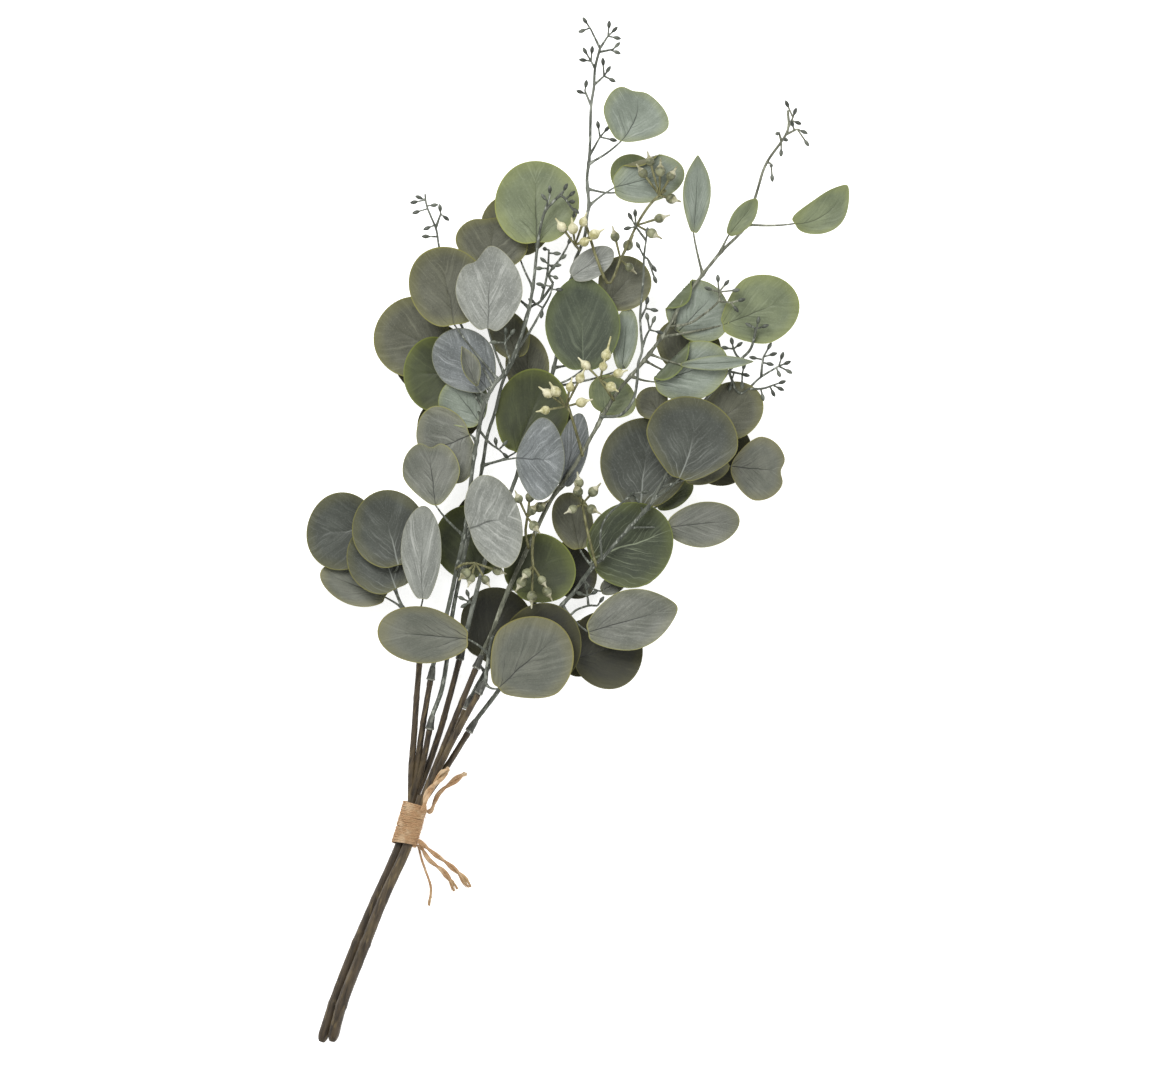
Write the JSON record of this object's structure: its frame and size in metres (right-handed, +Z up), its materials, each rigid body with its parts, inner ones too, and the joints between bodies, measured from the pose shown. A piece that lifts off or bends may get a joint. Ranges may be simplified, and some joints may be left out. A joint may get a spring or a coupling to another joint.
{
  "type": "tied eucalyptus bunch",
  "caption": "Tied bunch of eucalyptus sprigs with round leaves, seed sprays and gum nuts, bound with jute twine and lying flat.",
  "frame": {"origin": "centre of the bounding box's bottom face, on the surface that the bunch lies on", "axes": "+Y from the stem ends to the tips, +Z up from the surface, +X to the right seen from above"},
  "size_m": [0.2708, 0.6393, 0.0472],
  "materials": {
    "stem_left": "matte bark",
    "stem_right": "matte bark",
    "jute_binding": "rough twine",
    "sprig_low_left": "powdery",
    "sprig_left": "powdery",
    "sprig_middle": "powdery",
    "sprig_top": "powdery",
    "sprig_right_top": "powdery",
    "sprig_low_front": "powdery",
    "sprig_inner": "powdery",
    "sprig_right": "powdery",
    "seed_spray_dark": "matte",
    "seed_spray_arc": "matte",
    "gum_nuts_cream_top": "matte",
    "gum_nuts_olive_top": "matte",
    "gum_nuts_cream_middle": "matte",
    "gum_nuts_olive_middle": "matte",
    "gum_nuts_olive_low": "matte",
    "gum_nuts_olive_left": "matte",
    "gum_nuts_olive_shade": "matte",
    "gum_nuts_olive_right": "matte",
    "twine_tail_1": "rough twine",
    "twine_tail_2": "rough twine",
    "twine_tail_3": "rough twine",
    "twine_tail_4": "rough twine",
    "twine_tail_5": "rough twine"
  },
  "bodies": {
    "root": {"stem_left": "stem_left", "stem_right": "stem_right", "jute_binding": "jute_binding", "sprig_low_left": "sprig_low_left", "sprig_left": "sprig_left", "sprig_middle": "sprig_middle", "sprig_top": "sprig_top", "sprig_right_top": "sprig_right_top", "sprig_low_front": "sprig_low_front", "sprig_inner": "sprig_inner", "sprig_right": "sprig_right", "seed_spray_dark": "seed_spray_dark", "seed_spray_arc": "seed_spray_arc", "gum_nuts_cream_top": "gum_nuts_cream_top", "gum_nuts_olive_top": "gum_nuts_olive_top", "gum_nuts_cream_middle": "gum_nuts_cream_middle", "gum_nuts_olive_middle": "gum_nuts_olive_middle", "gum_nuts_olive_low": "gum_nuts_olive_low", "gum_nuts_olive_left": "gum_nuts_olive_left", "gum_nuts_olive_shade": "gum_nuts_olive_shade", "gum_nuts_olive_right": "gum_nuts_olive_right", "twine_tail_1": "twine_tail_1", "twine_tail_2": "twine_tail_2", "twine_tail_3": "twine_tail_3", "twine_tail_4": "twine_tail_4", "twine_tail_5": "twine_tail_5"}
  },
  "joints": []
}
